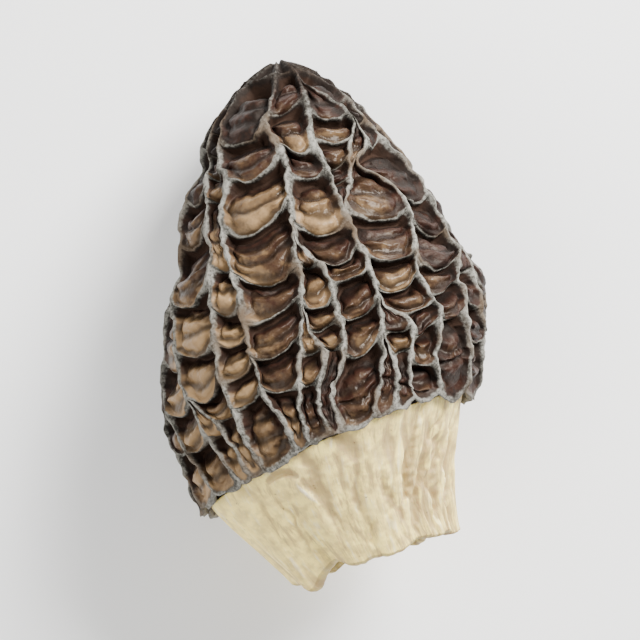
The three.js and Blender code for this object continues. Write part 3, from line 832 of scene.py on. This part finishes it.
def stem_surface(settings):
    """The stem over (row, angle): down its outside, round the cut edge and up its inside. Half
    width and thickness flare with (1 - s)^1.25 towards the cap, and the middle bends with s^2,
    where s is the share of the way from the joint to the cut."""
    s = [np.linspace(0, 1, STEM_ROWS), np.ones(len(CUT_PLACES)), np.linspace(1, 0, LINING_ROWS)]
    inset = [np.zeros(STEM_ROWS), CUT_PLACES * STEM_WALL, np.full(LINING_ROWS, STEM_WALL)]
    # The last row is the first again, which closes the skin.
    s, inset = (np.concatenate([*part, [0.0]])[:, None] for part in (s, inset))
    angle = np.arange(STEM_SIDES)[None, :] * TURN / STEM_SIDES
    outside = inset == 0
    rise = settings.joint_rise * np.maximum(sind(angle), 0) ** 2
    top = skin_radius(angle, 0) - STEM_INSET + rise
    flare = (1 - s) ** 1.25
    across = between(STEM_END, top, flare)
    thick = between(STEM_END * STEM_END_FLATNESS, top * FLATNESS, flare)
    bend = s * s
    x0 = across * cosd(angle) + STEM_SHIFT * bend
    y0 = between(MARGIN_SLANT * cosd(angle), -cut_at(angle), s)
    base = np.stack(np.broadcast_arrays(x0, y0, thick * sind(angle)), axis=-1)
    wander, patches = LUMP(base), SWAY(base)

    # Folds, cords, flap and valleys all push the skin out or in.
    fold = stem_fold(angle, s)
    coarseness = np.where(outside, between(0.7, 2.2, np.clip(cosd(angle), 0, 1)), 0.5)
    cords = fibres(angle, s, wander) * np.minimum(1, 5 * s) * coarseness * (1 + 0.7 * patches)
    fine = settings.fibre * cords
    on_top = np.where(outside, np.clip(sind(angle) * 4, 0, 1), 0)
    flap = settings.flap * torn_flap(x0, y0) * on_top
    aside = 0.3 * wander + 0.1 * WRINKLE(base)
    valleys = settings.valleys * soft_valleys(x0 + aside, y0) * on_top
    push = fold - inset + fine + flap - valleys - settings.fibre

    x = (across + push) * cosd(angle) + STEM_SHIFT * bend
    z = (thick + push) * sind(angle) - STEM_DROP * bend
    rounded = np.where((s == 1) & (inset > 0) & (inset < STEM_WALL), CUT_ROUNDING, 0.0)
    cut = cut_at(angle) + settings.tear * (waves_round(angle, JAGS) - 0.5) + rounded
    joint = MARGIN_SLANT * cosd(angle) + settings.tuck
    points = laid(np.stack(np.broadcast_arrays(x, between(joint, -cut, s), z), axis=-1))

    inside = np.where(inset == STEM_WALL, ramp(s, 1, -0.1), 0.0)
    # Painted shade: in the valleys, between the folds and fine cords, and in the flap's grooves.
    shadow = (valleys - fold) * 2.2 - fine * 8 + np.maximum(-flap * 10, 0)
    # The flap's height also places a painted highlight on its raised lip.
    masks = inside, np.clip(shadow, 0, 1), s, flap, cosd(angle), sind(angle)
    return points, np.stack(np.broadcast_arrays(*masks), axis=-1)


# ---- meshes ----


def placed(name, data):
    """A new object of the scene that holds the data."""
    made = bpy.data.objects.new(name, data)
    bpy.context.scene.collection.objects.link(made)
    return made


def grid_faces(rows, columns):
    """Triangles between the rows of a grid that closes on itself along each row."""
    row, place = np.meshgrid(np.arange(rows - 1), np.arange(columns), indexing="ij")
    a = row * columns + place
    b = row * columns + (place + 1) % columns
    c, d = a + columns, b + columns
    halves = [np.stack(corners, axis=-1).reshape(-1, 3) for corners in ((a, b, d), (a, d, c))]
    return np.concatenate(halves)


def joined(surfaces):
    """Grids of points and masks as one closed skin: equal points merged, empty faces dropped."""
    points, masks, faces, count = [], [], [], 0
    for grid, mask in surfaces:
        rows, columns = grid.shape[:2]
        points.append(grid.reshape(-1, 3))
        masks.append(mask.reshape(-1, mask.shape[-1]))
        faces.append(grid_faces(rows, columns) + count)
        count += rows * columns
    points, masks, faces = (np.concatenate(part) for part in (points, masks, faces))
    cells = np.round(points / WELD).astype(int)
    _, first, same = np.unique(cells, axis=0, return_index=True, return_inverse=True)
    faces = same.ravel()[faces]
    a, b, c = faces.T
    return points[first], masks[first], faces[(a != b) & (b != c) & (c != a)]


def make_piece(name, surfaces, mask_names, material, node):
    """One smooth mesh in metres with its masks as attributes, standing for a solid."""
    points, masks, faces = joined(surfaces)
    mesh = bpy.data.meshes.new(name)
    mesh.from_pydata(points * MM, [], faces)
    mesh.shade_smooth()
    for k, mask_name in enumerate(mask_names):
        mesh.attributes.new(mask_name, "FLOAT", "POINT").data.foreach_set("value", masks[:, k])
    mesh.materials.append(material)
    piece = placed(name, mesh)
    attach(piece, "root")
    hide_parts(node)
    print(name, len(faces), "triangles")
    return piece


# ---- materials ----


def linear(hex_colour):
    """An sRGB hex colour as linear red, green, blue and alpha."""
    srgb = [int(hex_colour[i : i + 2], 16) / 255 for i in (1, 3, 5)]
    return tuple(c / 12.92 if c <= 0.04045 else ((c + 0.055) / 1.055) ** 2.4 for c in srgb) + (1.0,)


def new_material(name):
    """A material and its node tree, still empty."""
    material = bpy.data.materials.new(name)
    material.use_nodes = True
    tree = material.node_tree
    tree.nodes.clear()
    return material, tree


def add_node(tree, kind, inputs=(), output=0, **settings):
    """Adds a shader node with its settings. Its inputs, in the order of its sockets or by their
    identifiers, are values or sockets to link from. Gives back the socket of the wanted output."""
    node = tree.nodes.new("ShaderNode" + kind)
    for key, value in settings.items():
        setattr(node, key, value)
    sockets = {socket.identifier: socket for socket in node.inputs}
    given = inputs if isinstance(inputs, dict) else dict(zip(sockets, inputs))
    for key, value in given.items():
        if isinstance(value, bpy.types.NodeSocket):
            tree.links.new(value, sockets[key])
        else:
            sockets[key].default_value = value
    return node.outputs[output] if node.outputs else None


def masks_and_grains(tree, mask_names, grains):
    """The mesh's masks by name, and noises given as size in millimetres, detail and roughness."""
    parts = []
    for name in mask_names:
        parts.append(add_node(tree, "Attribute", output="Fac", attribute_name=name))
    place = add_node(tree, "TexCoord", output="Object")
    for size, detail, roughness in grains:
        inputs = {"Vector": place, "Scale": 1 / (size * MM)}
        inputs |= {"Detail": detail, "Roughness": roughness}
        parts.append(add_node(tree, "TexNoise", inputs))
    return parts


def painted(tree, colour, coats):
    """A colour with coats laid over it in turn. A coat is a field, its strength and a mask to add;
    the sum is taken smoothly from 0 at low to most at high, as the cover of the coat's colour."""
    for field, strength, mask, low, high, most, coat in coats:
        amount = add_node(tree, "Math", (field, strength, mask), operation="MULTIPLY_ADD")
        inputs = {"Value": amount, "From Min": low, "From Max": high, "To Max": most}
        cover = add_node(tree, "MapRange", inputs, interpolation_type="SMOOTHSTEP")
        inputs = {"Factor_Float": cover, "A_Color": colour, "B_Color": coat}
        colour = add_node(tree, "Mix", inputs, 2, data_type="RGBA")
    return colour


def lined(tree, settings, grain):
    """The two-toned colour of the lining of cap and stem."""
    coats = [(grain, 1.0, 0.0, 0.3, 0.7, 1.0, settings.lining_light)]
    return painted(tree, settings.lining_dark, coats)


def dried_cap_flesh(settings):
    """Dried morel cap: matt, downy grey crests over leathery pits with a satin sheen, tan where
    they face up and red-brown to black in the crevices, with painted shade in crevices, on walls,
    between cushions, under each rib and towards the tip; the hollow is lined pale orange-brown."""
    material, tree = new_material("Dried morel cap flesh")
    # The down is 0.1 mm in life and is drawn coarser; then pores, wrinkles, blotches and patches.
    grains = [(0.35, 4.0, 0.7), (0.7, 4.0, 0.6), (0.9, 2.0, 0.5), (2.6, 3.0, 0.6), (6.0, 2.0, 0.5)]
    parts = masks_and_grains(tree, CAP_MASKS, grains)
    crest, crevice_dark_and_shade, tone, inside, cushions, down, pores, wrinkles, blotch, patch = parts

    # How far a floor's cushion swells, from 0 to 1: the squared sine of the number of cushions.
    place = add_node(tree, "Math", (wrinkles, 0.12, cushions), operation="MULTIPLY_ADD")
    turned = add_node(tree, "Math", (place, math.pi), operation="MULTIPLY")
    wave = add_node(tree, "Math", (turned,), operation="SINE")
    swelling = add_node(tree, "Math", (wave, wave), operation="MULTIPLY")

    # The tone holds the floor's own colour and its painted shade and light.
    tone = add_node(tree, "Math", (blotch, 0.9, tone), operation="MULTIPLY_ADD")
    pit_coats = [
        (pores, 0.5, tone, 0.75, 1.0, 1.0, settings.pit_red),
        (pores, 0.5, tone, 1.0, 1.2, 1.0, settings.pit_brown),
        (pores, 0.5, tone, 1.2, 1.42, 1.0, settings.pit_tan),
        (pores, 0.5, tone, 1.42, 1.7, 1.0, settings.pit_pale),
        # Painted shade in the creases between the cushions of a floor.
        (swelling, -1.0, 1.0, 0.25, 1.1, 0.8, settings.pit_black),
        # Painted shade over the walls' dark colour: on walls, in crevices and under the margin.
        (pores, 0.7, crevice_dark_and_shade, 0.65, 1.35, 1.0, settings.crevice_dark_and_shade),
    ]
    pit = painted(tree, settings.pit_black, pit_coats)
    mottle = add_node(tree, "Math", (down, 0.5), operation="MULTIPLY")
    crest_coats = [
        (blotch, 0.5, mottle, 0.4, 0.62, 0.75, settings.crest_light),
        (down, 0.5, crest, 1.08, 1.3, 0.8, settings.crest_light),
        (patch, 1.0, 0.0, 0.48, 0.66, 0.85, settings.crest_worn),
        # Dark strands in the down.
        (down, -1.0, 1.0, 0.58, 0.72, 0.45, settings.crevice_dark_and_shade),
    ]
    grey = painted(tree, settings.crest_dark, crest_coats)
    lining = lined(tree, settings, pores)
    coats = [(down, 0.6, crest, 0.46, 0.98, 1.0, grey), (pores, 0.0, inside, 0.2, 0.8, 1.0, lining)]
    colour = painted(tree, pit, coats)

    # Light floors have the most sheen; crevices are nearly matt, and the down is wholly so.
    inputs = {"Value": tone, "From Min": 0.4, "From Max": 1.0, "To Min": 0.7, "To Max": 0.29}
    satin = add_node(tree, "MapRange", inputs)
    for mask, matt in ((crevice_dark_and_shade, 0.8), (crest, 0.95)):
        inputs = {"Factor_Float": mask, "A_Float": satin, "B_Float": matt}
        satin = add_node(tree, "Mix", inputs)
    floors = add_node(tree, "Math", (swelling, 0.8, wrinkles), operation="MULTIPLY_ADD")
    inputs = {"Factor_Float": crest, "A_Float": floors, "B_Float": down}
    relief = add_node(tree, "Mix", inputs)
    inputs = {"Height": relief, "Strength": 0.45, "Distance": 0.4 * MM}
    bump = add_node(tree, "Bump", inputs)
    surface = {"Base Color": colour, "Roughness": satin, "Normal": bump, "IOR": 1.45}
    surface |= {"Specular IOR Level": 0.22, "Specular Tint": linear("#f6eadc")}
    shader = add_node(tree, "BsdfPrincipled", surface)
    add_node(tree, "OutputMaterial", {"Surface": shader})
    return material


def dried_stem_flesh(settings):
    """Dried morel stem: cream, slightly waxy flesh with faint lengthwise streaks, browner in its
    folds and valleys by painted shade, orange-brown inside, and a painted highlight on the raised
    lip of the torn flap."""
    material, tree = new_material("Dried morel stem flesh")
    # Soft mottling, fine grain, broad stains and specks.
    grains = [(1.1, 3.0, 0.5), (0.5, 4.0, 0.6), (4.0, 3.0, 0.55), (0.55, 2.0, 0.5)]
    parts = masks_and_grains(tree, STEM_MASKS, grains)
    inside, fold_shade, along, flap, east, up, soft, grain, stain, speck = parts

    # Streaks about 0.6 mm wide that follow the stem's length: noise over the place round the stem,
    # as a point of a circle, and a small share of the way along.
    slow = add_node(tree, "Math", (along, 0.25), operation="MULTIPLY")
    place = add_node(tree, "CombineXYZ", {"X": east, "Y": up, "Z": slow})
    inputs = {"Vector": place, "Scale": 18.0, "Detail": 4.0, "Roughness": 0.6, "Distortion": 0.2}
    streaks = add_node(tree, "TexNoise", inputs)

    coats = [
        (soft, 1.0, 0.0, 0.35, 0.65, 0.5, settings.stem_shade),
        (east, 0.07, streaks, 0.5, 0.66, 0.75, settings.stem_shade),
        (streaks, -1.0, 1.0, 0.54, 0.68, 0.35, settings.stem_edge),
        (stain, 1.0, 0.0, 0.5, 0.72, 0.6, settings.stem_stain),
        # Painted shade in the folds, the valleys and the grooves of the flap.
        (grain, 0.3, fold_shade, 0.3, 1.0, 0.8, settings.stem_shade),
        # A painted highlight on the raised lip of the torn flap.
        (grain, 0.1, flap, 0.14, 0.36, 0.9, settings.stem_edge),
        (speck, 1.0, 0.0, 0.72, 0.77, 0.6, settings.stem_fleck),
        (grain, 0.01, along, 0.992, 1.004, 0.45, settings.stem_fleck),
        (grain, 0.4, inside, 0.45, 1.1, 1.0, lined(tree, settings, grain)),
    ]
    colour = painted(tree, settings.stem_light, coats)
    inputs = {"Value": grain, "To Min": 0.5, "To Max": 0.68}
    rough = add_node(tree, "MapRange", inputs)
    relief = add_node(tree, "Math", (grain, 0.35, soft), operation="MULTIPLY_ADD")
    relief = add_node(tree, "Math", (streaks, -1.3, relief), operation="MULTIPLY_ADD")
    inputs = {"Height": relief, "Strength": 0.6, "Distance": 0.2 * MM}
    bump = add_node(tree, "Bump", inputs)
    surface = {"Base Color": colour, "Roughness": rough, "Normal": bump, "IOR": 1.45}
    surface |= {"Subsurface Weight": 0.06, "Subsurface Scale": 1.5 * MM}
    shader = add_node(tree, "BsdfPrincipled", surface)
    add_node(tree, "OutputMaterial", {"Surface": shader})
    return material


def matt_white_card(settings):
    """Matt white card: an even pale ground without gloss."""
    material, tree = new_material("Matt white card")
    surface = {"Base Color": settings.floor_colour, "Roughness": 0.9, "IOR": 1.5}
    shader = add_node(tree, "BsdfPrincipled", surface)
    add_node(tree, "OutputMaterial", {"Surface": shader})
    return material


# ---- what a user can change ----


def a_number(name, description, default, **more):
    """A property for a number from 0."""
    settings = dict(name=name, description=description, default=default, min=0.0) | more
    return bpy.props.FloatProperty(**settings)


def a_length(name, description, millimetres):
    """A property for a length."""
    limits = dict(max=5 * MM, precision=5, subtype="DISTANCE", unit="LENGTH")
    return a_number(name, description, millimetres * MM, **limits)


def a_share(name, description, default):
    """A property for a share of something else."""
    return a_number(name, description, default, max=1.5, subtype="FACTOR")


def a_colour(name, description, hex_colour):
    """A property for a colour."""
    texts = dict(name=name, description=description, default=linear(hex_colour))
    return bpy.props.FloatVectorProperty(**texts, size=4, min=0.0, max=1.0, subtype="COLOR")


def in_millimetres(settings):
    """The values of a property group, with its lengths as plain numbers of millimetres."""
    values = {name: getattr(settings, name) for name in settings.__annotations__}
    for name in values:
        if settings.bl_rna.properties[name].unit == "LENGTH":
            values[name] /= MM
    return SimpleNamespace(**values)


class MorelCapSettings(bpy.types.PropertyGroup):
    wander: a_length("Wander", "How far the net strays, at 4 mm", 0.26)
    ragged: a_length("Ragged edges", "How far crests and walls stray, at 1 mm", 0.14)
    crest_dip: a_length("Crest dip", "How far the crests dip below the skin", 0.4)
    overhang: a_length("Overhang", "How far walls lean over towards the margin", 0.3)
    bare_ribs: a_share("Bare ribs", "Share of the down missing in the middle of ribs", 0.42)
    lean: a_length("Lean", "How far ridges lean to either side", 0.65)
    scoop: a_share("Scoop", "Share by which a pit is shallower at its lower end", 0.68)
    lumps: a_length("Lumps", "Height of the lumps of a pit's floor", 0.16)
    pleats: a_length("Pleats", "Height of the cross cushions of a pit's floor", 0.7)
    swell: a_share("Swell of floors", "Rise of a pit's floor, as a share of its depth", 0.33)
    crest_light: a_colour("Crest, light", "Downy crests where they are lightest", "#8f8c83")
    crest_dark: a_colour("Crest, dark", "Downy crests where they are darkest", "#3f3d38")
    crest_worn: a_colour("Crest, worn", "Crests with the down rubbed off", "#554637")
    pit_pale: a_colour("Pit, pale", "Lightest pit floors", "#8c7150")
    pit_tan: a_colour("Pit, tan", "Tan pit floors", "#675139")
    pit_brown: a_colour("Pit, brown", "Brown pit floors", "#3e2d20")
    pit_red: a_colour("Pit, red-brown", "Reddish pit floors", "#2a1710")
    # Darkest pit floors, and the painted shade between the cushions of floors.
    pit_black: a_colour("Pit, black", "Darkest pit floors", "#150e0b")
    # Dark walls and crevices, with painted shade on them and under the margin; also the down's dark
    # strands.
    crevice_dark_and_shade: a_colour("Crevice", "Walls and crevices", "#2b1c14")
    lining_light: a_colour("Lining, light", "Light grain of the hollow", "#a8784a")
    lining_dark: a_colour("Lining, dark", "Dark grain of the hollow", "#6e4628")


class MorelStemSettings(bpy.types.PropertyGroup):
    fibre: a_length("Cords", "Height of the fine lengthwise cords", 0.045)
    tuck: a_length("Tuck", "How far the flesh runs on under the cap's margin", 0.25)
    joint_rise: a_length("Rise", "How far the stem swells on top to meet the margin", 0.8)
    flap: a_length("Flap", "Height of the torn flap's edge on top", 0.22)
    valleys: a_length("Valleys", "Depth of the soft valleys on top", 0.95)
    tear: a_length("Tear", "Raggedness of the torn end", 0.1)
    stem_light: a_colour("Stem, light", "Smooth flesh", "#ffe688")
    # Mottling and streaks of the flesh, and painted shade in its folds and valleys.
    stem_shade: a_colour("Stem, shade", "Flesh in folds", "#a98f62")
    stem_stain: a_colour("Stem, stain", "Yellower patches", "#e6cd84")
    # Pale streaks, and the painted highlight on the raised lip of the torn flap.
    stem_edge: a_colour("Stem, edge", "Raised and torn edges", "#fbf3da")
    stem_fleck: a_colour("Stem, fleck", "Small dark flecks", "#6b5434")
    lining_light: a_colour("Lining, light", "Light grain inside", "#a8744a")
    lining_dark: a_colour("Lining, dark", "Dark grain inside", "#6e4426")


class MorelStageSettings(bpy.types.PropertyGroup):
    floor_colour: a_colour("Floor", "Colour of the floor", "#fbfaf8")
    key_power: a_number("Key light", "Power of the soft light on the right", 4.0, unit="POWER")
    fill_power: a_number("Fill light", "Power of the broad light on the left", 1.45, unit="POWER")
    roll: bpy.props.FloatProperty(
        name="Roll",
        description="Turn of the camera about its own view",
        default=math.radians(-8.5),
        subtype="ANGLE",
    )
    distance: a_number("Distance", "Height of the camera over the cap", 0.325, subtype="DISTANCE")


# ---- operators ----

# Metres, as everything from here on.
FLOOR_HALF = 3.0  # half the side of the floor
FLOOR_GAP = 5e-5  # the floor lies this much below the flattened ridges
CAP_MIDDLE = 0.014  # height of the middle of the cap, over which the camera's distance is taken
LIGHTS_AIM = 0.01  # height at which the lights aim


class MOREL_OT_cap(bpy.types.Operator):
    """Make the netted cap"""

    bl_idname = "morel.cap"
    bl_label = "Cap"

    def execute(self, context):
        settings = context.scene.morel_cap
        sizes = in_millimetres(settings)
        columns = [Column(index) for index in range(len(RIDGES))]
        surfaces = [tip_surface(columns, sizes), hollow_surface(columns, sizes)]
        for column in columns:
            for start, end in column.stretches:
                ribs = column_ribs(column, start, end)
                surfaces += [pit_surface(column, *pair, sizes) for pair in zip(ribs, ribs[1:])]
        make_piece("morel_cap", surfaces, CAP_MASKS, dried_cap_flesh(settings), "cap")
        return {"FINISHED"}


class MOREL_OT_stem(bpy.types.Operator):
    """Make the cut stub of the stem"""

    bl_idname = "morel.stem"
    bl_label = "Stem"

    def execute(self, context):
        settings = context.scene.morel_stem
        surfaces = [stem_surface(in_millimetres(settings))]
        make_piece("morel_stem", surfaces, STEM_MASKS, dried_stem_flesh(settings), "stem")
        return {"FINISHED"}


class MOREL_OT_stage(bpy.types.Operator):
    """Add the floor, the lights and the camera"""

    bl_idname = "morel.stage"
    bl_label = "Stage"

    def execute(self, context):
        settings = context.scene.morel_stage
        mesh = bpy.data.meshes.new("floor")
        corners = [(-1, -1), (1, -1), (1, 1), (-1, 1)]
        places = [(x * FLOOR_HALF, y * FLOOR_HALF, -FLOOR_GAP) for x, y in corners]
        mesh.from_pydata(places, [], [range(4)])
        mesh.materials.append(matt_white_card(settings))
        floor = placed("floor", mesh)
        soft_light("key", (0.2, 0.16, 0.2), 0.16, settings.key_power)
        soft_light("fill", (-0.24, -0.08, 0.24), 0.4, settings.fill_power)
        world = bpy.data.worlds.new("pale room")
        world.use_nodes = True
        background = world.node_tree.nodes["Background"]
        background.inputs["Color"].default_value = linear("#f4f6f8")
        background.inputs["Strength"].default_value = 0.55
        context.scene.world = world
        lens = bpy.data.cameras.new("camera")
        lens.lens = 180
        lens.sensor_width = 36
        lens.clip_start = 0.01
        camera = placed("camera", lens)
        camera.location = (0.0, 0.0, settings.distance + CAP_MIDDLE)
        camera.rotation_euler = (0.0, 0.0, settings.roll)
        context.scene.camera = camera
        return {"FINISHED"}


def soft_light(name, place, width, power):
    """A square area light that faces the middle of the morel."""
    light = bpy.data.lights.new(name, "AREA")
    light.size = width
    light.energy = power
    lamp = placed(name, light)
    lamp.location = place
    aim = Vector((0.0, 0.0, LIGHTS_AIM)) - Vector(place)
    lamp.rotation_euler = aim.to_track_quat("-Z", "Y").to_euler()


class MOREL_PT_panel(bpy.types.Panel):
    """Lists the pieces of the morel in the sidebar"""

    bl_idname = "MOREL_PT_panel"
    bl_label = "Morel"
    bl_space_type = "VIEW_3D"
    bl_region_type = "UI"
    bl_category = "Morel"

    def draw(self, context):
        for name in ("cap", "stem", "stage"):
            box = self.layout.box()
            box.operator(f"morel.{name}")
            settings = getattr(context.scene, f"morel_{name}")
            for key in settings.__annotations__:
                box.prop(settings, key)


SETTINGS = {
    "morel_cap": MorelCapSettings,
    "morel_stem": MorelStemSettings,
    "morel_stage": MorelStageSettings,
}
CLASSES = (*SETTINGS.values(), MOREL_OT_cap, MOREL_OT_stem, MOREL_OT_stage, MOREL_PT_panel)


def register():
    for cls in CLASSES:
        bpy.utils.register_class(cls)
    for name, cls in SETTINGS.items():
        setattr(bpy.types.Scene, name, bpy.props.PointerProperty(type=cls))


def unregister():
    for name in SETTINGS:
        delattr(bpy.types.Scene, name)
    for cls in reversed(CLASSES):
        bpy.utils.unregister_class(cls)


def main():
    register()
    bpy.ops.morel.cap()
    bpy.ops.morel.stem()
    bpy.ops.morel.stage()


if __name__ == "__main__":
    main()
